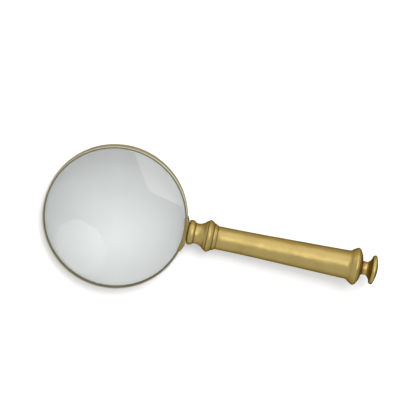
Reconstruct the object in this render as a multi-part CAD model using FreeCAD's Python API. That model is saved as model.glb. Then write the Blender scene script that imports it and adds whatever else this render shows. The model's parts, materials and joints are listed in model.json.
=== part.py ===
"""Brass magnifying glass with a screw-on turned handle, lying at rest on a desk.

Each piece is drawn with the lens centre at zero, the lens axis along Z and the handle
along +X, then laid down on its two touching points: the far edge of the rim and the
bead of the ferrule.
"""
import os
from math import atan, cos, degrees, radians, sin, sqrt

import FreeCAD
import Part

# ---- driving dimensions, millimetres ----

# lens head: radii are measured from the lens axis
rim_radius = 52.0
rim_wall = 1.0
rim_height = 9.4
lip_reach = 1.5
lip_thickness = 0.8
lip_rounding = 0.5
lens_radius = 50.8
lens_edge = 3.0
lens_curve_radius = 260.0
thread_clearance = 0.08
seat_ring_inner = 50.4
seat_clearance = 0.06
retainer_inner = 50.2
retainer_recess = 0.2
spanner_slot_width = 2.4
spanner_slot_depth = 0.8

# saddle, a channel that grips the rim where the handle joins
saddle_radius = 53.4
saddle_face = 52.7
saddle_front_inner = 49.9
saddle_back_inner = 51.1
saddle_flange = 0.75
saddle_gap = 0.05
saddle_start_angle = -16.0
saddle_sweep = 27.6
saddle_bevel_distance = 51.2
saddle_bevel_angle = 11.5

# neck stud, M6 outside with a plain tenon through saddle and rim
stud_radius = 3.0
stud_end = 66.0
stud_chamfer = 0.6
tenon_radius = 2.2
tenon_start = 51.1
shaft_clearance = 0.05

# front washer
washer_start = 52.75
washer_thickness = 0.35
washer_radius = 6.8
washer_bore = 3.2

# handle stations along the axis, measured from the lens centre
collar_start = 53.15
collar_end = 57.8
collar_front_radius = 8.2
collar_edge_radius = 7.7
collar_crest = (54.9, 8.95)
spigot_radius = 4.6
ferrule_start = 57.85
cove_lip_radius = 7.7
cove_waist = (60.2, 7.3)
cove_turn = (62.8, 8.1)
cove_rise = (64.3, 9.0)
shoulder_start = (65.5, 10.1)
shoulder_end = (66.5, 10.75)
bead_groove = (66.75, 10.5)
bead_start = (66.95, 11.2)
bead_radius = 11.6
bead_crest = 67.9
bead_slope = (69.5, 11.1)
bead_end = (71.0, 10.2)
ferrule_rear_spigot = 7.33
ferrule_rear_end = 84.0
thread_mouth = 58.0
thread_depth_end = 68.5

tail_ring_start = 71.1
tail_ring_end = 74.1
tail_ring_groove = (71.25, 9.55)
tail_ring_crest = (71.6, 9.85)
tail_ring_slope_end = (73.2, 9.05)
tail_ring_end_radius = 8.5
tail_ring_bore = 7.37

tube_start = 74.2
tube_end = 172.0
tube_front_radius = 8.4
tube_bend = (95.0, 8.54)
tube_cone_start = (114.4, 8.95)
tube_cone_end = (169.6, 10.36)
tube_lip = (171.1, 10.75)
tube_end_radius = 11.45
tube_wall = 1.0

end_collar_start = 172.1
end_collar_edge = 11.55
end_collar_flare = (173.5, 12.5)
end_collar_crest_start = (174.9, 13.25)
end_collar_crest = (176.0, 13.6)
end_collar_crest_end = (176.85, 13.25)
end_groove_bottom = (177.0, 12.85)
end_ring_start = (177.2, 12.95)
end_ring_crown = (177.9, 12.35)
end_ring_end = (178.3, 11.3)
end_boss_start = (178.5, 11.15)
end_boss = (179.55, 9.4)
end_boss_end = (180.1, 6.6)
end_boss_radius = 5.6
end_collar_end = 180.3
end_spigot_start = 161.0
end_spigot_radius = 9.0
end_spigot_bore = 7.6
end_web_start = 171.0
counterbore_start = 175.9
counterbore_radius = 4.3

# tie rod, M4, with its nuts and washers
rod_radius = 2.0
rod_start = 74.0
rod_end = 188.0
rod_chamfer = 0.4
rod_bore_start = 73.5
nut_flats = 7.0
nut_height = 3.2
nut_chamfer = 0.45
nut_gap = 0.05
spring_washer_radius = 3.8
spring_washer_bore = 2.15
spring_washer_height = 0.85
spring_washer_gap = 0.9
spring_washer_gap_angle = 25.0

# finial
fibre_start = 180.35
fibre_thickness = 0.35
fibre_radius = 5.2
finial_start = 180.75
neck_radius = 4.75
neck_foot_radius = 5.2
neck_foot = 181.9
neck_end = 184.0
knob_hollow = (186.0, 6.7)
knob_back_edge = (187.3, 9.9)
knob_rim = (188.7, 10.6)
knob_front_edge = (189.9, 10.15)
finial_end = 191.95
finial_bore_end = 188.6

# resting pose: touching the desk at the far rim edge and at the bead
rest_run = rim_radius + bead_crest
rest_drop = bead_radius - rim_height / 2
rest_tilt = degrees(atan(rest_drop / rest_run))

ORIGIN = FreeCAD.Vector(0, 0, 0)
X_AXIS = FreeCAD.Vector(1, 0, 0)
Y_AXIS = FreeCAD.Vector(0, 1, 0)
Z_AXIS = FreeCAD.Vector(0, 0, 1)


# ---- outlines and basic solids ----

def outline_face(start, steps):
    """Face in the XZ plane: a step is an end point, or a (middle, end) pair for an arc."""
    edges = []
    here = FreeCAD.Vector(start[0], 0, start[1])
    first = here
    for step in steps:
        is_arc = isinstance(step[0], tuple)
        end_point = step[1] if is_arc else step
        end = FreeCAD.Vector(end_point[0], 0, end_point[1])
        if is_arc:
            middle = FreeCAD.Vector(step[0][0], 0, step[0][1])
            edges.append(Part.Arc(here, middle, end).toShape())
        else:
            edges.append(Part.makeLine(here, end))
        here = end
    edges.append(Part.makeLine(here, first))
    return Part.Face(Part.Wire(edges))


def turned_on_handle(start, steps):
    """Solid turned about the handle axis from (x, radius) points."""
    return outline_face(start, steps).revolve(ORIGIN, X_AXIS, 360)


def turned_on_lens(start, steps, sweep=360):
    """Solid turned about the lens axis from (radius, z) points."""
    return outline_face(start, steps).revolve(ORIGIN, Z_AXIS, sweep)


def rod_along_handle(start, end, radius):
    base = FreeCAD.Vector(start, 0, 0)
    return Part.makeCylinder(radius, end - start, base, X_AXIS)


def disc_washer(start, thickness, outer, bore):
    end = start + thickness
    return turned_on_handle((start, bore), [(start, outer), (end, outer), (end, bore)])


# ---- lens head ----

def lens_face_height(radius):
    """Height of the front lens surface above the lens's middle plane."""
    edge_drop = lens_curve_radius - sqrt(lens_curve_radius ** 2 - lens_radius ** 2)
    drop = lens_curve_radius - sqrt(lens_curve_radius ** 2 - radius ** 2)
    return lens_edge / 2 + edge_drop - drop


def make_rim_band():
    top = rim_height / 2
    inner = rim_radius - rim_wall
    lip_inner = rim_radius - lip_reach
    corner = rim_radius - lip_rounding
    arc_offset = lip_rounding * cos(radians(45))
    arc_middle = (corner + arc_offset, top - lip_rounding + arc_offset)
    band = turned_on_lens(
        (inner, -top),
        [
            (rim_radius, -top),
            (rim_radius, top - lip_rounding),
            (arc_middle, (corner, top)),
            (lip_inner, top),
            (lip_inner, top - lip_thickness),
            (inner, top - lip_thickness),
        ],
    )
    hole_radius = tenon_radius + shaft_clearance
    return band.cut(rod_along_handle(inner - 1, rim_radius + 1, hole_radius))


def make_lens():
    middle_radius = lens_radius / 2
    crown = lens_face_height(0)
    middle = lens_face_height(middle_radius)
    edge = lens_edge / 2
    return turned_on_lens(
        (0, -crown),
        [
            ((middle_radius, -middle), (lens_radius, -edge)),
            (lens_radius, edge),
            ((middle_radius, middle), (0, crown)),
        ],
    )


def make_lens_seat_ring():
    outer = rim_radius - rim_wall - thread_clearance
    top = rim_height / 2 - lip_thickness - seat_clearance
    inner_foot = lens_face_height(seat_ring_inner) + seat_clearance
    outer_foot = lens_face_height(lens_radius) + seat_clearance
    return turned_on_lens(
        (seat_ring_inner, inner_foot),
        [(outer, outer_foot), (outer, top), (seat_ring_inner, top)],
    )


def make_retaining_ring():
    outer = rim_radius - rim_wall - thread_clearance
    base = -rim_height / 2 + retainer_recess
    inner_head = -lens_face_height(retainer_inner) - seat_clearance
    outer_head = -lens_face_height(lens_radius) - seat_clearance
    ring = turned_on_lens(
        (retainer_inner, base),
        [(outer, base), (outer, outer_head), (retainer_inner, inner_head)],
    )
    slot_depth_box = 2 * spanner_slot_depth
    corner = FreeCAD.Vector(-spanner_slot_width / 2, -rim_radius, base - spanner_slot_depth)
    slots = Part.makeBox(spanner_slot_width, 2 * rim_radius, slot_depth_box, corner)
    return ring.cut(slots)


def make_saddle():
    rim_top = rim_height / 2 + saddle_gap
    flange_top = rim_top + saddle_flange
    wall = rim_radius + saddle_gap
    channel = turned_on_lens(
        (saddle_front_inner, rim_top),
        [
            (wall, rim_top),
            (wall, -rim_top),
            (saddle_back_inner, -rim_top),
            (saddle_back_inner, -flange_top),
            (saddle_radius, -flange_top),
            (saddle_radius, flange_top),
            (saddle_front_inner, flange_top),
        ],
        saddle_sweep,
    )
    channel.rotate(ORIGIN, Z_AXIS, saddle_start_angle)
    trim_corner = FreeCAD.Vector(saddle_face, -saddle_radius, -rim_height)
    trim = Part.makeBox(saddle_flange, 2 * saddle_radius, 2 * rim_height, trim_corner)
    hole = rod_along_handle(rim_radius - 1, saddle_face + 1, tenon_radius + shaft_clearance)
    shoe = channel.cut(trim).cut(hole)
    bevel_corner = FreeCAD.Vector(saddle_bevel_distance, -saddle_radius, -rim_height)
    end_angle = saddle_start_angle + saddle_sweep
    for lean in (saddle_start_angle - saddle_bevel_angle, end_angle + saddle_bevel_angle):
        bevel = Part.makeBox(rim_radius, 2 * saddle_radius, 2 * rim_height, bevel_corner)
        bevel.rotate(ORIGIN, Z_AXIS, lean)
        shoe = shoe.cut(bevel)
    return shoe


def make_neck_stud():
    return turned_on_handle(
        (tenon_start, 0),
        [
            (tenon_start, tenon_radius),
            (saddle_face + shaft_clearance, tenon_radius),
            (saddle_face + shaft_clearance, stud_radius),
            (stud_end - stud_chamfer, stud_radius),
            (stud_end, stud_radius - stud_chamfer),
            (stud_end, 0),
        ],
    )


# ---- handle ----

def make_front_collar():
    bore = spigot_radius + shaft_clearance
    return turned_on_handle(
        (collar_start, bore),
        [
            (collar_start, collar_front_radius),
            (collar_crest, (collar_end, collar_edge_radius)),
            (collar_end, bore),
        ],
    )


def make_ferrule():
    spigot_start = collar_start + 2 * shaft_clearance
    body = turned_on_handle(
        (spigot_start, 0),
        [
            (spigot_start, spigot_radius),
            (ferrule_start, spigot_radius),
            (ferrule_start, cove_lip_radius),
            (cove_waist, cove_turn),
            (cove_rise, shoulder_start),
            shoulder_end,
            bead_groove,
            bead_start,
            ((bead_crest, bead_radius), bead_slope),
            bead_end,
            (bead_end[0], ferrule_rear_spigot),
            (ferrule_rear_end, ferrule_rear_spigot),
            (ferrule_rear_end, 0),
        ],
    )
    mouth = rod_along_handle(spigot_start, thread_mouth, washer_bore)
    thread = rod_along_handle(spigot_start, thread_depth_end, stud_radius + shaft_clearance)
    rod_hole = rod_along_handle(rod_bore_start, ferrule_rear_end, rod_radius + shaft_clearance)
    return body.cut(mouth.fuse(thread)).cut(rod_hole)


def make_tail_ring():
    return turned_on_handle(
        (tail_ring_start, tail_ring_bore),
        [
            (tail_ring_start, tail_ring_groove[1]),
            tail_ring_groove,
            tail_ring_crest,
            tail_ring_slope_end,
            (tail_ring_end, tail_ring_end_radius),
            (tail_ring_end, tail_ring_bore),
        ],
    )


def make_handle_tube():
    """Even wall: the bore repeats the outside, one wall thickness further in."""
    inner_bend = (tube_bend[0], tube_bend[1] - tube_wall)
    return turned_on_handle(
        (tube_start, tube_front_radius),
        [
            (tube_bend, tube_cone_start),
            tube_cone_end,
            (tube_lip, (tube_end, tube_end_radius)),
            (tube_end, tube_cone_end[1] - tube_wall),
            (tube_cone_end[0], tube_cone_end[1] - tube_wall),
            (tube_cone_start[0], tube_cone_start[1] - tube_wall),
            (inner_bend, (tube_start, tube_front_radius - tube_wall)),
        ],
    )


def make_end_collar():
    spigot_growth = tube_cone_end[1] - tube_wall - shaft_clearance
    body = turned_on_handle(
        (end_spigot_start, end_spigot_bore),
        [
            (end_spigot_start, end_spigot_radius),
            (tube_cone_end[0], spigot_growth),
            (end_collar_start, spigot_growth),
            (end_collar_start, end_collar_edge),
            (end_collar_flare, end_collar_crest_start),
            (end_collar_crest, end_collar_crest_end),
            end_groove_bottom,
            end_ring_start,
            (end_ring_crown, end_ring_end),
            end_boss_start,
            (end_boss, end_boss_end),
            (end_collar_end, end_boss_radius),
            (end_collar_end, 0),
            (end_web_start, 0),
            (end_web_start, end_spigot_bore),
        ],
    )
    rod_hole = rod_along_handle(end_web_start, end_collar_end, rod_radius + shaft_clearance)
    counterbore = rod_along_handle(counterbore_start, end_collar_end, counterbore_radius)
    return body.cut(rod_hole.fuse(counterbore))


def make_tie_rod():
    return turned_on_handle(
        (rod_start, 0),
        [
            (rod_start, rod_radius - rod_chamfer),
            (rod_start + rod_chamfer, rod_radius),
            (rod_end - rod_chamfer, rod_radius),
            (rod_end, rod_radius - rod_chamfer),
            (rod_end, 0),
        ],
    )


def make_hex_nut(start):
    """Hexagon nut with its corners chamfered at both ends."""
    corner_radius = nut_flats / sqrt(3)
    end = start + nut_height
    corners = []
    for index in range(6):
        angle = radians(60 * index)
        across = corner_radius * cos(angle)
        upward = corner_radius * sin(angle)
        corners.append(FreeCAD.Vector(start, across, upward))
    corners.append(corners[0])
    hexagon = Part.Face(Part.makePolygon(corners))
    prism = hexagon.extrude(FreeCAD.Vector(nut_height, 0, 0))
    chamfered = turned_on_handle(
        (start, rod_radius + shaft_clearance),
        [
            (start, corner_radius - nut_chamfer),
            (start + nut_chamfer, corner_radius),
            (end - nut_chamfer, corner_radius),
            (end, corner_radius - nut_chamfer),
            (end, rod_radius + shaft_clearance),
        ],
    )
    return prism.common(chamfered)


def make_spring_washer():
    start = counterbore_start + nut_gap
    ring = disc_washer(start, spring_washer_height, spring_washer_radius, spring_washer_bore)
    reach = spring_washer_radius + 1
    corner = FreeCAD.Vector(start - 1, -spring_washer_gap / 2, 0)
    gap = Part.makeBox(spring_washer_height + 2, spring_washer_gap, reach, corner)
    centre = FreeCAD.Vector(start + spring_washer_height / 2, 0, 0)
    gap.rotate(centre, Z_AXIS, spring_washer_gap_angle)
    return ring.cut(gap)


def make_finial_knob():
    """The knob's face is a shallow spherical dome."""
    edge_radius = knob_front_edge[1]
    dome_rise = finial_end - knob_front_edge[0]
    dome_radius = (edge_radius ** 2 + dome_rise ** 2) / (2 * dome_rise)
    half_radius = edge_radius / 2
    half_drop = dome_radius - sqrt(dome_radius ** 2 - half_radius ** 2)
    body = turned_on_handle(
        (finial_start, 0),
        [
            (finial_start, neck_foot_radius),
            (neck_foot, neck_radius),
            (neck_end, neck_radius),
            (knob_hollow, knob_back_edge),
            (knob_rim, knob_front_edge),
            ((finial_end - half_drop, half_radius), (finial_end, 0)),
        ],
    )
    bore = rod_along_handle(finial_start, finial_bore_end, rod_radius + shaft_clearance)
    return body.cut(bore)


# ---- assembly ----

def make_all_pieces():
    clamp_nut_start = counterbore_start + spring_washer_height + 2 * nut_gap
    return {
        "rim_band": make_rim_band(),
        "lens": make_lens(),
        "lens_seat_ring": make_lens_seat_ring(),
        "retaining_ring": make_retaining_ring(),
        "saddle": make_saddle(),
        "neck_stud": make_neck_stud(),
        "front_washer": disc_washer(washer_start, washer_thickness, washer_radius, washer_bore),
        "front_collar": make_front_collar(),
        "ferrule": make_ferrule(),
        "tail_ring": make_tail_ring(),
        "handle_tube": make_handle_tube(),
        "end_collar": make_end_collar(),
        "tie_rod": make_tie_rod(),
        "lock_nut": make_hex_nut(ferrule_rear_end + nut_gap),
        "clamp_nut": make_hex_nut(clamp_nut_start),
        "spring_washer": make_spring_washer(),
        "finial_washer": disc_washer(
            fibre_start, fibre_thickness, fibre_radius, rod_radius + 2 * shaft_clearance
        ),
        "finial_knob": make_finial_knob(),
    }


def lay_down(pieces):
    """Tilt the whole glass on to its two touching points and centre it over the origin."""
    for shape in pieces.values():
        shape.rotate(ORIGIN, Y_AXIS, -rest_tilt)
    extent = Part.makeCompound(list(pieces.values())).optimalBoundingBox(False, False)
    shift = FreeCAD.Vector(
        -(extent.XMin + extent.XMax) / 2,
        -(extent.YMin + extent.YMax) / 2,
        -extent.ZMin,
    )
    for shape in pieces.values():
        shape.translate(shift)


def main():
    os.makedirs("parts", exist_ok=True)
    pieces = make_all_pieces()
    lay_down(pieces)
    for name, shape in pieces.items():
        shape.exportStep("parts/" + name + ".step")


main()
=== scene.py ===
"""Looks of a brass magnifying glass: fine turned pieces, aged lacquered brass and a glass lens."""
import json
from math import atan2, cos, pi, radians, sin, sqrt

import bmesh
import bpy
from mathutils import Matrix, Vector


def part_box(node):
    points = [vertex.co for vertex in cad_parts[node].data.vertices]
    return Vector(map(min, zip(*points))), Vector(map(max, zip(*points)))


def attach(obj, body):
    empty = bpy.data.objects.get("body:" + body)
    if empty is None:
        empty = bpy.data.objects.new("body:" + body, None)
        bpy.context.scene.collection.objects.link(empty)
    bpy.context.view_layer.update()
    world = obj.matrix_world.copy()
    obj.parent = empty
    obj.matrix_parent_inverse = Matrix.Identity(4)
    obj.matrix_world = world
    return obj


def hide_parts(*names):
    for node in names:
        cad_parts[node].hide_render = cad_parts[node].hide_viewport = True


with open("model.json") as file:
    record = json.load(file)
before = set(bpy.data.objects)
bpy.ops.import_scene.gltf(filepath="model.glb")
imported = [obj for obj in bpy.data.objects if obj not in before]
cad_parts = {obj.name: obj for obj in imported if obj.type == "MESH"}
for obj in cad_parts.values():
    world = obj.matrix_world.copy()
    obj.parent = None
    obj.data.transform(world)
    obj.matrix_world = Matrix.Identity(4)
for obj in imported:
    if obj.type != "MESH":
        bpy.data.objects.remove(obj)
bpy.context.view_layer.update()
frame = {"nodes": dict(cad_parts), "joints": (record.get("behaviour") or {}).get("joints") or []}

MM = 0.001
WELD = 0.002    # millimetres: points closer than this are one point

# ---- where the glass lies ----
# Pieces are drawn in millimetres with the lens centre at zero, the lens axis along Z and
# the handle along +X. LAY_DOWN takes them to metres and to their place on the desk.

joints = {joint["name"]: joint for joint in frame["joints"]}
handle_axis = Vector(joints["handle_turn"]["axis"]).normalized()
lens_low, lens_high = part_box("lens")
lens_centre = (lens_low + lens_high) / 2
rest_tilt = atan2(handle_axis.z, handle_axis.x)
LAY_DOWN = (
    Matrix.Translation(lens_centre)
    @ Matrix.Rotation(-rest_tilt, 4, "Y")
    @ Matrix.Scale(MM, 4)
)


# ---- modelling helpers ----

def arc(start, middle, end, steps):
    """Points on the circle through three points, from just after start to end."""
    ax, ay = start
    bx, by = middle
    cx, cy = end
    twist = 2 * (ax * (by - cy) + bx * (cy - ay) + cx * (ay - by))
    a2, b2, c2 = ax * ax + ay * ay, bx * bx + by * by, cx * cx + cy * cy
    ox = (a2 * (by - cy) + b2 * (cy - ay) + c2 * (ay - by)) / twist
    oy = (a2 * (cx - bx) + b2 * (ax - cx) + c2 * (bx - ax)) / twist
    radius = sqrt((ax - ox) ** 2 + (ay - oy) ** 2)
    first = atan2(ay - oy, ax - ox)
    turn = (atan2(cy - oy, cx - ox) - first) % (2 * pi)
    halfway = (atan2(by - oy, bx - ox) - first) % (2 * pi)
    if halfway > turn:
        turn -= 2 * pi
    angles = [first + turn * step / steps for step in range(1, steps + 1)]
    return [(ox + radius * cos(a), oy + radius * sin(a)) for a in angles]


def finish_mesh(bm, name, body, material, replaced):
    """Lays the drawn piece down, closes it, and hangs it on its body."""
    bmesh.ops.remove_doubles(bm, verts=bm.verts, dist=WELD)
    bmesh.ops.recalc_face_normals(bm, faces=bm.faces)
    bm.transform(LAY_DOWN)
    mesh = bpy.data.meshes.new(name)
    bm.to_mesh(mesh)
    bm.free()
    mesh.shade_smooth()
    piece = bpy.data.objects.new(name, mesh)
    bpy.context.scene.collection.objects.link(piece)
    mesh.materials.append(material)
    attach(piece, body)
    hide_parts(*replaced)


def spin_outline(outline, axis, steps, closed):
    """A bmesh turned right round an axis from an outline of (along, out) points."""
    bm = bmesh.new()
    if axis == "handle":
        line = [bm.verts.new((along, 0, out)) for along, out in outline]
        turn_axis = (1, 0, 0)
    else:
        line = [bm.verts.new((out, 0, along)) for out, along in outline]
        turn_axis = (0, 0, 1)
    edges = [bm.edges.new(pair) for pair in zip(line, line[1:])]
    if closed:
        edges.append(bm.edges.new((line[-1], line[0])))
    bmesh.ops.spin(
        bm,
        geom=line + edges,
        cent=(0, 0, 0),
        axis=turn_axis,
        angle=2 * pi,
        steps=steps,
        use_merge=True,
    )
    bmesh.ops.remove_doubles(bm, verts=bm.verts, dist=WELD)
    bmesh.ops.recalc_face_normals(bm, faces=bm.faces)
    return bm


def break_edges(bm, width, least_angle=28):
    """Rounds every edge sharper than least_angle, as a lathe tool or a buff leaves it."""
    sharp = [e for e in bm.edges if e.is_manifold and e.calc_face_angle(0) > radians(least_angle)]
    bmesh.ops.bevel(
        bm,
        geom=sharp,
        offset=width,
        offset_type="OFFSET",
        segments=2,
        profile=0.5,
        affect="EDGES",
        clamp_overlap=True,
        material=-1,
    )


def mark_sharp(bm, least_angle=50):
    """Smooth faces everywhere, with a crisp line only where two faces really meet."""
    for face in bm.faces:
        face.smooth = True
    for edge in bm.edges:
        if edge.is_manifold and edge.calc_face_angle(0) > radians(least_angle):
            edge.smooth = False


def turned_piece(name, outline, body, material, replaced, edge=0.12, steps=96, closed=True):
    """One lathe-turned piece of the handle, with its corners broken."""
    bm = spin_outline(outline, "handle", steps, closed)
    break_edges(bm, edge)
    mark_sharp(bm)
    finish_mesh(bm, name, body, material, replaced)


def ring_piece(name, outline, body, material, replaced, edge=0.1, steps=192):
    """One ring of the lens head, with its corners broken."""
    bm = spin_outline(outline, "lens", steps, True)
    break_edges(bm, edge)
    mark_sharp(bm)
    finish_mesh(bm, name, body, material, replaced)


# ---- material helpers ----

class Recipe:
    """A node material being written down: each call adds one node and returns its output."""

    def __init__(self, name):
        self.material = bpy.data.materials.new(name)
        self.material.use_nodes = True
        self.nodes = self.material.node_tree.nodes
        self.links = self.material.node_tree.links
        self.shader = self.nodes["Principled BSDF"]

    def feed(self, socket, value):
        if isinstance(value, bpy.types.NodeSocket):
            self.links.new(value, socket)
        elif value is not None:
            socket.default_value = value

    def maker_space(self):
        """Object coordinates in millimetres, from the lens centre, with X along the handle."""
        coords = self.nodes.new("ShaderNodeTexCoord")
        mapping = self.nodes.new("ShaderNodeMapping")
        mapping.vector_type = "TEXTURE"
        mapping.inputs["Location"].default_value = lens_centre
        mapping.inputs["Rotation"].default_value = (0, -rest_tilt, 0)
        mapping.inputs["Scale"].default_value = (MM, MM, MM)
        self.links.new(coords.outputs["Object"], mapping.inputs["Vector"])
        return mapping.outputs["Vector"]

    def stretched(self, vector, scale):
        mapping = self.nodes.new("ShaderNodeMapping")
        mapping.inputs["Scale"].default_value = scale
        self.links.new(vector, mapping.inputs["Vector"])
        return mapping.outputs["Vector"]

    def parts_of(self, vector):
        split = self.nodes.new("ShaderNodeSeparateXYZ")
        self.links.new(vector, split.inputs[0])
        return split.outputs

    def math(self, operation, first, second=None):
        node = self.nodes.new("ShaderNodeMath")
        node.operation = operation
        for socket, value in zip(node.inputs, (first, second)):
            self.feed(socket, value)
        return node.outputs[0]

    def noise(self, vector, scale, detail=4.0, roughness=0.55, distortion=0.0):
        node = self.nodes.new("ShaderNodeTexNoise")
        self.links.new(vector, node.inputs["Vector"])
        node.inputs["Scale"].default_value = scale
        node.inputs["Detail"].default_value = detail
        node.inputs["Roughness"].default_value = roughness
        node.inputs["Distortion"].default_value = distortion
        return node.outputs["Fac"]

    def range(self, value, low, high, to_low, to_high):
        node = self.nodes.new("ShaderNodeMapRange")
        node.clamp = True
        self.links.new(value, node.inputs["Value"])
        node.inputs["From Min"].default_value = low
        node.inputs["From Max"].default_value = high
        node.inputs["To Min"].default_value = to_low
        node.inputs["To Max"].default_value = to_high
        return node.outputs["Result"]

    def blend(self, factor, first, second):
        node = self.nodes.new("ShaderNodeMix")
        node.data_type = "RGBA"
        self.feed(node.inputs["Factor"], factor)
        self.feed(node.inputs["A"], first)
        self.feed(node.inputs["B"], second)
        return node.outputs["Result"]

    def bump(self, height, strength, distance, under=None):
        node = self.nodes.new("ShaderNodeBump")
        node.inputs["Strength"].default_value = strength
        node.inputs["Distance"].default_value = distance
        self.links.new(height, node.inputs["Height"])
        if under is not None:
            self.links.new(under, node.inputs["Normal"])
        return node.outputs["Normal"]

    def near(self, value, centre, half_width):
        """One at centre, fading to nothing half_width away."""
        gap = self.math("ABSOLUTE", self.math("SUBTRACT", value, centre))
        return self.range(gap, 0.0, half_width, 1.0, 0.0)

    def any_of(self, masks):
        total = masks[0]
        for mask in masks[1:]:
            total = self.math("MAXIMUM", total, mask)
        return total


def rgb(red, green, blue):
    return (red, green, blue, 1.0)


def turned_brass(name, clean, tarnish_and_shade_colour, groove_tarnish_and_shade, axis="handle", gloss=0.30, tint=(0.05, 0.06, 0.05)):
    """Lacquered brass off the lathe: fine tool rings, random tarnishing, tarnishing and painted
    shade along each groove and joint, soft polishing waves.

    Each groove is (place, half width) in millimetres: along the handle, or out from the lens
    centre when axis is "lens"; there the colour darkens as tarnishing and painted shade.
    The tint colours the metal's reflection where it turns away from the eye; the near-black
    default paints dark reflections along the edges.
    """
    recipe = Recipe(name)
    place = recipe.maker_space()
    x, y = recipe.parts_of(place)[:2]
    if axis == "handle":
        along = x
        ring_space = recipe.stretched(place, (1.0, 0.06, 0.06))
    else:
        squares = recipe.math("ADD", recipe.math("MULTIPLY", x, x), recipe.math("MULTIPLY", y, y))
        along = recipe.math("SQRT", squares)
        ring_space = recipe.stretched(place, (0.12, 0.12, 1.0))
    tool_rings = recipe.noise(ring_space, 5.5, 3.0, 0.6)
    fine_rings = recipe.noise(ring_space, 16.0, 2.0, 0.5)
    cloud = recipe.noise(place, 0.09, 5.0, 0.6, 0.4)
    speck = recipe.noise(place, 1.3, 6.0, 0.7)
    tarnish_and_shade = recipe.range(cloud, 0.42, 0.68, 0.0, 0.22)
    tarnish_and_shade = recipe.math("MULTIPLY", tarnish_and_shade, recipe.range(speck, 0.3, 0.6, 0.5, 1.0))
    # each groove and joint band darkens as tarnishing together with painted shade
    if groove_tarnish_and_shade:
        marks = [recipe.near(along, centre, half) for centre, half in groove_tarnish_and_shade]
        tarnish_and_shade = recipe.math("MAXIMUM", tarnish_and_shade, recipe.any_of(marks))
    colour = recipe.blend(tarnish_and_shade, clean, tarnish_and_shade_colour)
    colour = recipe.blend(recipe.range(tool_rings, 0.35, 0.7, 0.0, 0.10), colour, tarnish_and_shade_colour)
    recipe.feed(recipe.shader.inputs["Base Color"], colour)
    recipe.shader.inputs["Metallic"].default_value = 1.0
    # near-black default edge tint: a painted dark reflection along the edges
    recipe.shader.inputs["Specular Tint"].default_value = rgb(*tint)
    rough = recipe.range(speck, 0.3, 0.7, gloss - 0.03, gloss + 0.04)
    rough = recipe.math("ADD", rough, recipe.math("MULTIPLY", tarnish_and_shade, 0.18))
    recipe.feed(recipe.shader.inputs["Roughness"], rough)
    relief = recipe.bump(tool_rings, 0.12, 0.00004)
    relief = recipe.bump(fine_rings, 0.12, 0.00002, relief)
    relief = recipe.bump(cloud, 0.05, 0.0003, relief)
    waves = recipe.noise(recipe.stretched(place, (1.0, 1.4, 1.4)), 0.11, 1.0, 0.4)
    relief = recipe.bump(waves, 0.5, 0.0008, relief)
    recipe.feed(recipe.shader.inputs["Normal"], relief)
    return recipe.material


def worked_steel(name):
    """Plain bright steel with light turning lines and a trace of oil film."""
    recipe = Recipe(name)
    place = recipe.maker_space()
    lines = recipe.noise(recipe.stretched(place, (1.0, 0.08, 0.08)), 7.0, 3.0, 0.6)
    film = recipe.noise(place, 0.4, 4.0, 0.6)
    colour = recipe.blend(film, rgb(0.46, 0.46, 0.45), rgb(0.60, 0.60, 0.59))
    recipe.feed(recipe.shader.inputs["Base Color"], colour)
    recipe.shader.inputs["Metallic"].default_value = 1.0
    recipe.feed(recipe.shader.inputs["Roughness"], recipe.range(film, 0.3, 0.7, 0.28, 0.42))
    recipe.feed(recipe.shader.inputs["Normal"], recipe.bump(lines, 0.2, 0.00003))
    return recipe.material


def pressed_fibre(name, dark, light):
    """Vulcanised fibre: matt, faintly flecked, softened at the punched edge."""
    recipe = Recipe(name)
    place = recipe.maker_space()
    fleck = recipe.noise(recipe.stretched(place, (0.5, 1.0, 1.0)), 3.0, 6.0, 0.7)
    colour = recipe.blend(recipe.range(fleck, 0.35, 0.7, 0.0, 1.0), dark, light)
    recipe.feed(recipe.shader.inputs["Base Color"], colour)
    recipe.feed(recipe.shader.inputs["Roughness"], recipe.range(fleck, 0.3, 0.7, 0.55, 0.75))
    recipe.feed(recipe.shader.inputs["Normal"], recipe.bump(fleck, 0.3, 0.00005))
    return recipe.material


def polished_glass(name):
    """Clear lens glass with the faintest handling haze and a few hairline wipe marks."""
    recipe = Recipe(name)
    place = recipe.maker_space()
    haze = recipe.noise(place, 0.05, 4.0, 0.6, 0.5)
    wipes = recipe.noise(recipe.stretched(place, (1.0, 0.05, 1.0)), 2.2, 2.0, 0.5)
    haze = recipe.range(haze, 0.3, 0.7, 0.0, 1.0)
    shade = recipe.blend(haze, rgb(0.85, 0.88, 0.87), rgb(0.90, 0.93, 0.92))
    recipe.feed(recipe.shader.inputs["Base Color"], shade)
    recipe.shader.inputs["Transmission Weight"].default_value = 1.0
    recipe.shader.inputs["IOR"].default_value = 1.70
    recipe.feed(recipe.shader.inputs["Roughness"], recipe.range(wipes, 0.55, 0.8, 0.0, 0.006))
    return recipe.material


BRASS_CLEAN = rgb(0.63, 0.48, 0.175)
# dark brass used for tarnishing and for the painted shade in the grooves and joints
BRASS_TARNISH_AND_SHADE = rgb(0.32, 0.205, 0.055)
RIM_CLEAN = rgb(0.73, 0.66, 0.48)
# near-black for the rim's painted dark lip line and for the saddle's tarnishing
RIM_TARNISH_AND_SHADE = rgb(0.070, 0.072, 0.036)
SADDLE_CLEAN = rgb(0.40, 0.31, 0.115)
RIM_TINT = (0.70, 0.72, 0.66)

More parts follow.
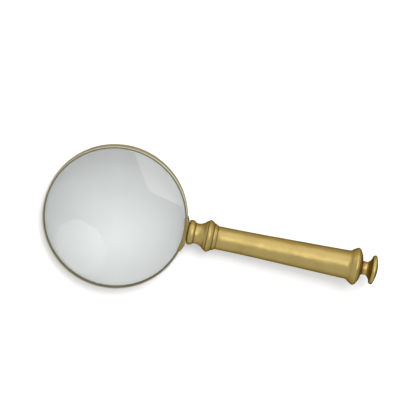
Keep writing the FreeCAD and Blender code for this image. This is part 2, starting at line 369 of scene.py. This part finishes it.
# The bands listed for the handle pieces are tarnishing together with painted shade at each joint and
# groove.
collar_brass = turned_brass(
    "collar_brass", BRASS_CLEAN, BRASS_TARNISH_AND_SHADE, [(53.15, 0.7), (57.8, 0.7)], gloss=0.37
)
ferrule_brass = turned_brass(
    "ferrule_brass", BRASS_CLEAN, BRASS_TARNISH_AND_SHADE, [(57.9, 0.8), (66.75, 0.5), (71.1, 0.6)], gloss=0.37
)
tail_brass = turned_brass("tail_brass", BRASS_CLEAN, BRASS_TARNISH_AND_SHADE, [(71.1, 0.5), (74.1, 0.5)])
tube_brass = turned_brass("tube_brass", BRASS_CLEAN, BRASS_TARNISH_AND_SHADE, [(74.2, 0.4)], gloss=0.33)
end_brass = turned_brass("end_brass", BRASS_CLEAN, BRASS_TARNISH_AND_SHADE, [(177.0, 0.3), (178.4, 0.25)])
# The finial's two wide bands are painted shade on its neck and under the knob's flare.
finial_brass = turned_brass("finial_brass", BRASS_CLEAN, BRASS_TARNISH_AND_SHADE, [(181.0, 1.6), (186.0, 1.8)])
# The rim's band at 50.8 mm is a painted dark line of shade and dark reflection on the lip's inner
# edge.
rim_brass = turned_brass(
    "rim_brass", RIM_CLEAN, RIM_TARNISH_AND_SHADE, [(50.8, 0.85)], axis="lens", gloss=0.34, tint=RIM_TINT
)
saddle_brass = turned_brass("saddle_brass", SADDLE_CLEAN, RIM_TARNISH_AND_SHADE, [], axis="lens", gloss=0.34)
steel = worked_steel("bright_steel")
black_fibre = pressed_fibre("black_fibre", rgb(0.075, 0.045, 0.010), rgb(0.12, 0.078, 0.020))
red_fibre = pressed_fibre("red_fibre", rgb(0.085, 0.022, 0.008), rgb(0.14, 0.045, 0.018))
lens_glass = polished_glass("lens_glass")


# ---- lens head ----

LENS_CURVE = 260.0
LENS_RADIUS = 50.8
LENS_HALF_EDGE = 1.5
SADDLE_START = radians(-16.0)
SADDLE_SWEEP = radians(27.6)
SADDLE_CUTS = ((0.0, 52.7), (-27.5, 51.2), (23.1, 51.2))    # degrees round the rim, distance out


def lens_height(radius):
    edge_drop = LENS_CURVE - sqrt(LENS_CURVE ** 2 - LENS_RADIUS ** 2)
    drop = LENS_CURVE - sqrt(LENS_CURVE ** 2 - radius ** 2)
    return LENS_HALF_EDGE + edge_drop - drop


def make_lens():
    rings = 28
    radii = [LENS_RADIUS * step / rings for step in range(rings + 1)]
    front = [(radius, lens_height(radius)) for radius in radii]
    back = [(radius, -height) for radius, height in reversed(front)]
    bm = spin_outline(front + back, "lens", 192, False)
    break_edges(bm, 0.25, 40)
    mark_sharp(bm, 24)
    finish_mesh(bm, "lens_disc", "lens_head", lens_glass, ["lens"])


def make_rim():
    outline = [(51.0, -4.7), (52.0, -4.7), (52.0, 4.2)]
    outline += arc((52.0, 4.2), (51.8536, 4.5536), (51.5, 4.7), 5)
    outline += [(50.5, 4.7), (50.5, 3.9), (51.0, 3.9)]
    ring_piece("rim_shell", outline, "lens_head", rim_brass, ["rim_band"])


def make_seat_ring():
    foot_in = lens_height(50.4) + 0.06
    foot_out = lens_height(50.8) + 0.06
    outline = [(50.4, foot_in), (50.92, foot_out), (50.92, 3.84), (50.4, 3.84)]
    ring_piece("seat_ring", outline, "lens_head", rim_brass, ["lens_seat_ring"])


def make_saddle():
    """A channel swept part of the way round the rim, then cut flat on its face and at both ends."""
    outline = [
        (49.9, 4.75), (52.05, 4.75), (52.05, -4.75), (51.1, -4.75),
        (51.1, -5.5), (53.4, -5.5), (53.4, 5.5), (49.9, 5.5),
    ]
    bm = bmesh.new()
    start = Matrix.Rotation(SADDLE_START, 4, "Z")
    corners = [bm.verts.new(start @ Vector((out, 0, up))) for out, up in outline]
    end_face = bm.faces.new(corners)
    bmesh.ops.spin(
        bm, geom=[end_face], cent=(0, 0, 0), axis=(0, 0, 1), angle=SADDLE_SWEEP, steps=18
    )
    bmesh.ops.recalc_face_normals(bm, faces=bm.faces)
    for lean, distance in SADDLE_CUTS:
        outward = Matrix.Rotation(radians(lean), 3, "Z") @ Vector((1, 0, 0))
        cut = bmesh.ops.bisect_plane(
            bm,
            geom=bm.verts[:] + bm.edges[:] + bm.faces[:],
            plane_co=outward * distance,
            plane_no=outward,
            clear_outer=True,
        )
        cut_edges = [item for item in cut["geom_cut"] if isinstance(item, bmesh.types.BMEdge)]
        bmesh.ops.holes_fill(bm, edges=cut_edges, sides=0)
    bmesh.ops.recalc_face_normals(bm, faces=bm.faces)
    break_edges(bm, 0.22)
    mark_sharp(bm)
    finish_mesh(bm, "saddle_shoe", "lens_head", saddle_brass, ["saddle"])


def threaded_rod(start, end, radius, pitch, depth):
    """Outline points of a rod whose surface carries thread grooves from start to end."""
    points = []
    turns = int((end - start) / pitch)
    for turn in range(turns):
        left = start + turn * pitch
        points += [
            (left, radius - depth),
            (left + 0.15 * pitch, radius - depth),
            (left + 0.45 * pitch, radius),
            (left + 0.65 * pitch, radius),
        ]
    points.append((start + turns * pitch, radius - depth))
    return points


def make_stud():
    outline = [(51.1, 0), (51.1, 2.2), (52.75, 2.2), (52.75, 3.0), (54.2, 3.0)]
    outline += threaded_rod(54.4, 65.4, 3.0, 1.0, 0.5)
    outline += [(66.0, 2.3), (66.0, 0)]
    turned_piece(
        "neck_screw", outline, "lens_head", steel, ["neck_stud"], 0.05, 48, False
    )


# ---- handle ----

BEAD_EDGE = 71.0
ROD_BORE = 2.05
KNOB_EDGE = (189.9, 10.15)
KNOB_TIP = 191.95
KNOB_DOME_STEPS = 12


def make_front_washer():
    outline = [(52.75, 3.2), (52.75, 6.8), (53.1, 6.8), (53.1, 3.2)]
    turned_piece(
        "neck_washer_ring", outline, "neck_washer", black_fibre, ["front_washer"], 0.08
    )


def make_collar():
    outline = [(53.15, 4.65), (53.15, 8.2)]
    outline += arc((53.15, 8.2), (54.9, 8.95), (57.8, 7.7), 14)
    outline += [(57.8, 4.65)]
    turned_piece("front_collar_disc", outline, "handle", collar_brass, ["front_collar"])


def make_ferrule():
    outline = [(53.25, 4.6), (57.85, 4.6), (57.85, 7.7)]
    outline += arc((57.85, 7.7), (60.2, 7.3), (62.8, 8.1), 14)
    outline += arc((62.8, 8.1), (64.3, 9.0), (65.5, 10.1), 8)
    outline += [(66.5, 10.75), (66.75, 10.5), (66.95, 11.2)]
    outline += arc((66.95, 11.2), (67.9, 11.6), (69.5, 11.1), 12)
    outline += [
        (BEAD_EDGE, 10.2), (BEAD_EDGE, 7.33), (84.0, 7.33), (84.0, ROD_BORE),
        (73.5, ROD_BORE), (73.5, 0.4), (68.5, 0.4), (68.5, 3.05),
        (58.0, 3.05), (58.0, 3.2), (53.25, 3.2),
    ]
    turned_piece("ferrule_turning", outline, "handle", ferrule_brass, ["ferrule"])


def make_tail_ring():
    outline = [
        (71.1, 7.37), (71.1, 9.55), (71.25, 9.55), (71.6, 9.85),
        (73.2, 9.05), (74.1, 8.5), (74.1, 7.37),
    ]
    turned_piece("tail_cone", outline, "handle", tail_brass, ["tail_ring"], 0.1)


def make_tube():
    outline = [(74.2, 8.4)]
    outline += arc((74.2, 8.4), (95.0, 8.54), (114.4, 8.95), 16)
    outline += [(142.0, 9.656), (169.6, 10.36)]
    outline += arc((169.6, 10.36), (171.1, 10.75), (172.04, 11.48), 8)
    outline += [(172.04, 9.36), (169.6, 9.36), (142.0, 8.656), (114.4, 7.95)]
    outline += arc((114.4, 7.95), (95.0, 7.54), (74.2, 7.4), 16)
    turned_piece("handle_barrel", outline, "handle", tube_brass, ["handle_tube"], 0.06, 128)


def make_end_collar():
    outline = [(161.0, 7.6), (161.0, 9.0), (169.6, 9.31), (172.07, 9.31), (172.07, 11.5)]
    outline += arc((172.07, 11.5), (173.5, 12.5), (174.9, 13.25), 10)
    outline += arc((174.9, 13.25), (176.0, 13.6), (176.85, 13.25), 10)
    outline += [(177.0, 12.85), (177.2, 12.95)]
    outline += arc((177.2, 12.95), (177.9, 12.35), (178.3, 11.3), 8)
    outline += [(178.5, 11.15)]
    outline += arc((178.5, 11.15), (179.55, 9.4), (180.1, 6.6), 12)
    outline += [
        (180.3, 5.6), (180.3, 4.3), (175.9, 4.3), (175.9, ROD_BORE), (171.0, ROD_BORE), (171.0, 7.6),
    ]
    turned_piece("end_collar_cup", outline, "handle", end_brass, ["end_collar"], 0.07)


def make_tie_rod():
    outline = [(74.0, 0), (74.0, 1.6)]
    outline += threaded_rod(74.4, 90.5, 2.0, 0.7, 0.35)
    outline += [(91.0, 2.0), (170.0, 2.0)]
    outline += threaded_rod(170.5, 187.3, 2.0, 0.7, 0.35)
    outline += [(187.6, 2.0), (188.0, 1.6), (188.0, 0)]
    turned_piece("tie_screw", outline, "handle", steel, ["tie_rod"], 0.03, 40, False)


def make_finial():
    outline = [(188.6, 0.0), (188.6, ROD_BORE), (180.75, ROD_BORE), (180.75, 5.2)]
    outline += [(181.9, 4.75), (184.0, 4.75)]
    outline += arc((184.0, 4.75), (186.0, 6.7), (187.3, 9.9), 16)
    outline += arc((187.3, 9.9), (188.7, 10.6), KNOB_EDGE, 10)
    edge_along, edge_out = KNOB_EDGE
    rise = KNOB_TIP - edge_along
    dome = (edge_out ** 2 + rise ** 2) / (2 * rise)
    for step in range(1, KNOB_DOME_STEPS + 1):
        out = edge_out * (1 - step / KNOB_DOME_STEPS)
        outline.append((KNOB_TIP - dome + sqrt(dome ** 2 - out ** 2), out))
    turned_piece(
        "finial_mushroom", outline, "finial", finial_brass, ["finial_knob"],
        closed=False,
    )


def make_finial_washer():
    outline = [(180.35, 2.1), (180.35, 5.2), (180.7, 5.2), (180.7, 2.1)]
    turned_piece(
        "finial_washer_ring", outline, "finial_seat", red_fibre, ["finial_washer"], 0.08
    )


make_lens()
make_rim()
make_seat_ring()
make_saddle()
make_stud()
make_front_washer()
make_collar()
make_ferrule()
make_tail_ring()
make_tube()
make_end_collar()
make_tie_rod()
make_finial_washer()
make_finial()

for node, finish in {
    "retaining_ring": rim_brass,
    "lock_nut": steel,
    "clamp_nut": steel,
    "spring_washer": steel,
}.items():
    kept = frame["nodes"][node]
    kept.data.materials.clear()
    kept.data.materials.append(finish)


# ---- floor, light and camera ----

FLOOR_GLOW = 0.19
POOL_CENTRE = (5.0, -14.0, -7.0)    # under the lens, in millimetres from its centre
POOL_RADIUS = 52.0
POOL_CORE_RADIUS = 4.0
POOL_EDGE_GLOW = 0.305
POOL_CORE_GLOW = 0.59
ROOM_BRIGHT_SIDE = (0.1, 1.0, 0.25)
ROOM_EDGE = (0.3, 0.95)
ROOM_DIM = 0.62
ROOM_BRIGHT = 1.08
WHITE = rgb(1.0, 1.0, 1.0)
VIEW_BACK = (-0.0798, 0.206, 0.975)
VIEW_ROLL = radians(11.68)
VIEW_WIDTH = 299.88 * MM
VIEW_SHIFT = (67.9014 * MM, 5.712 * MM)    # right and up, from the middle of the rim's lip
VIEW_DISTANCE = 1.6
RIM_LIP_TOP = 4.7

def make_floor():
    """White paper sweep, lit a little from below, with a painted pool of light under the lens that
    shows only through the glass.
    """
    bm = bmesh.new()
    bmesh.ops.create_grid(bm, x_segments=1, y_segments=1, size=6.0)
    mesh = bpy.data.meshes.new("studio_floor")
    bm.to_mesh(mesh)
    bm.free()
    floor = bpy.data.objects.new("studio_floor", mesh)
    bpy.context.scene.collection.objects.link(floor)
    mesh.materials.append(white_paper())


def white_paper():
    """Pale paper, painted warmer and darker where the brass mirrors it: a painted reflection."""
    recipe = Recipe("white_paper")
    grain = recipe.noise(recipe.maker_space(), 0.8, 3.0)
    rays = recipe.nodes.new("ShaderNodeLightPath")
    tone = recipe.blend(grain, rgb(0.84, 0.84, 0.84), rgb(0.86, 0.86, 0.86))
    seen_through = rays.outputs["Is Transmission Ray"]
    # painted reflection: glossy rays see the floor dark and warm, rays through the lens do not
    mirrored = recipe.math("SUBTRACT", rays.outputs["Is Glossy Ray"], seen_through)
    tone = recipe.blend(recipe.math("MAXIMUM", mirrored, 0.0), tone, rgb(0.40, 0.37, 0.28))
    recipe.feed(recipe.shader.inputs["Base Color"], tone)
    recipe.shader.inputs["Roughness"].default_value = 0.9
    recipe.shader.inputs["Specular IOR Level"].default_value = 0.0
    recipe.shader.inputs["Emission Color"].default_value = WHITE
    offset = recipe.nodes.new("ShaderNodeVectorMath")
    offset.operation = "DISTANCE"
    recipe.links.new(recipe.maker_space(), offset.inputs[0])
    offset.inputs[1].default_value = POOL_CENTRE
    # painted pool of light on the floor, seen only by rays through the lens, brightest near its
    # centre
    pool = recipe.range(
        offset.outputs["Value"], POOL_RADIUS, POOL_CORE_RADIUS, POOL_EDGE_GLOW, POOL_CORE_GLOW
    )
    through = recipe.math("MULTIPLY", seen_through, pool)
    direct = recipe.math("MULTIPLY", rays.outputs["Is Camera Ray"], FLOOR_GLOW)
    recipe.feed(recipe.shader.inputs["Emission Strength"], recipe.math("ADD", through, direct))
    return recipe.material


def eight_sided_softbox(name, direction, distance, radius, turn, strength):
    """An eight-sided soft light that faces the lens; it is not seen directly."""
    bm = bmesh.new()
    bmesh.ops.create_circle(bm, cap_ends=True, segments=8, radius=radius)
    towards = Vector(direction).normalized()
    face_lens = towards.to_track_quat("Z", "Y").to_matrix().to_4x4()
    flip = Matrix.Rotation(pi, 4, "X") @ Matrix.Rotation(turn, 4, "Z")
    bm.transform(Matrix.Translation(lens_centre + towards * distance) @ face_lens @ flip)
    mesh = bpy.data.meshes.new(name)
    bm.to_mesh(mesh)
    bm.free()
    recipe = Recipe(name + "_cloth")
    recipe.shader.inputs["Base Color"].default_value = rgb(0.0, 0.0, 0.0)
    recipe.shader.inputs["Emission Color"].default_value = WHITE
    recipe.shader.inputs["Emission Strength"].default_value = strength
    mesh.materials.append(recipe.material)
    box = bpy.data.objects.new(name, mesh)
    bpy.context.scene.collection.objects.link(box)
    box.visible_camera = False


def side_fill(direction, distance, size, strength):
    """A broad soft light over the far side of the desk; polished metal and glass do not show it."""
    light = bpy.data.lights.new("side_fill", "AREA")
    light.shape = "SQUARE"
    light.size = size
    light.energy = strength
    towards = Vector(direction).normalized()
    holder = bpy.data.objects.new("side_fill", light)
    holder.matrix_world = (
        Matrix.Translation(towards * distance) @ towards.to_track_quat("Z", "Y").to_matrix().to_4x4()
    )
    bpy.context.scene.collection.objects.link(holder)
    holder.visible_glossy = False
    holder.visible_transmission = False


def make_world():
    """A pale room, brighter towards the +Y side and overhead, dimmer behind the viewer."""
    world = bpy.data.worlds.new("studio")
    world.use_nodes = True
    nodes = world.node_tree.nodes
    links = world.node_tree.links
    coords = nodes.new("ShaderNodeTexCoord")
    facing = nodes.new("ShaderNodeVectorMath")
    facing.operation = "DOT_PRODUCT"
    facing.inputs[1].default_value = Vector(ROOM_BRIGHT_SIDE).normalized()
    links.new(coords.outputs["Generated"], facing.inputs[0])
    ramp = nodes.new("ShaderNodeMapRange")
    ramp.interpolation_type = "SMOOTHSTEP"
    ramp.inputs["From Min"].default_value = ROOM_EDGE[0]
    ramp.inputs["From Max"].default_value = ROOM_EDGE[1]
    ramp.inputs["To Min"].default_value = ROOM_DIM
    ramp.inputs["To Max"].default_value = ROOM_BRIGHT
    links.new(facing.outputs["Value"], ramp.inputs["Value"])
    background = nodes["Background"]
    background.inputs["Color"].default_value = WHITE
    links.new(ramp.outputs["Result"], background.inputs["Strength"])
    bpy.context.scene.world = world


def make_camera():
    """The camera looks down from above, a little from the +Y side, with the handle to the right."""
    back = Vector(VIEW_BACK).normalized()
    flat = (handle_axis - handle_axis.dot(back) * back).normalized()
    right = flat * cos(VIEW_ROLL) + back.cross(flat) * sin(VIEW_ROLL)
    up = back.cross(right)
    target = LAY_DOWN @ Vector((0, 0, RIM_LIP_TOP)) + right * VIEW_SHIFT[0] + up * VIEW_SHIFT[1]
    camera = bpy.data.cameras.new("camera")
    camera.sensor_width = 36.0
    camera.lens = camera.sensor_width * VIEW_DISTANCE / VIEW_WIDTH
    holder = bpy.data.objects.new("camera", camera)
    bpy.context.scene.collection.objects.link(holder)
    turn = Matrix((right, up, back)).transposed().to_4x4()
    holder.matrix_world = Matrix.Translation(target + back * VIEW_DISTANCE) @ turn
    bpy.context.scene.camera = holder


make_floor()
make_world()
eight_sided_softbox("key_octabox", (0.365, 0.345, 1.0), 2.6, 1.12, radians(34.0), 1.9)
side_fill((0.1, 0.7, 0.95), 1.4, 0.8, 14.0)
make_camera()
bpy.context.scene.view_settings.view_transform = "Standard"
